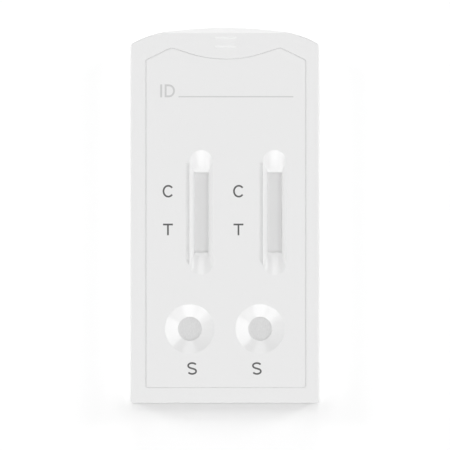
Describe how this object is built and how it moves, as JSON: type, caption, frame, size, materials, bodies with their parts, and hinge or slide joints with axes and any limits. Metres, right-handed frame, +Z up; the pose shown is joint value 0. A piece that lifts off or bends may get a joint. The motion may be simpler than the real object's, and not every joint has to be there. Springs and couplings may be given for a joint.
{
  "type": "lateral flow cassette",
  "caption": "Flat moulded test cassette with bevelled read windows, funnelled sample wells and a ribbed grip, closed over layered lateral flow strips.",
  "frame": {"origin": "centre of the body's outline on its flat underside", "axes": "+X across the cassette, +Y along it towards the ribbed grip, +Z up out of the face with the windows"},
  "size_m": [0.04, 0.08, 0.0047],
  "materials": {
    "housing_plastic": "fine satin moulding",
    "backing_card": "smooth sheet",
    "sample_pad": "felted fibre",
    "conjugate_pad": "felted fibre, faintly tinted",
    "membrane": "matt porous sheet",
    "absorbent_pad": "soft blotting sheet"
  },
  "bodies": {
    "root": {"lower_housing": "housing_plastic", "upper_housing": "housing_plastic", "left_backing_card": "backing_card", "left_sample_pad": "sample_pad", "left_conjugate_pad": "conjugate_pad", "left_membrane": "membrane", "left_absorbent_pad": "absorbent_pad", "right_backing_card": "backing_card", "right_sample_pad": "sample_pad", "right_conjugate_pad": "conjugate_pad", "right_membrane": "membrane", "right_absorbent_pad": "absorbent_pad"}
  },
  "joints": []
}
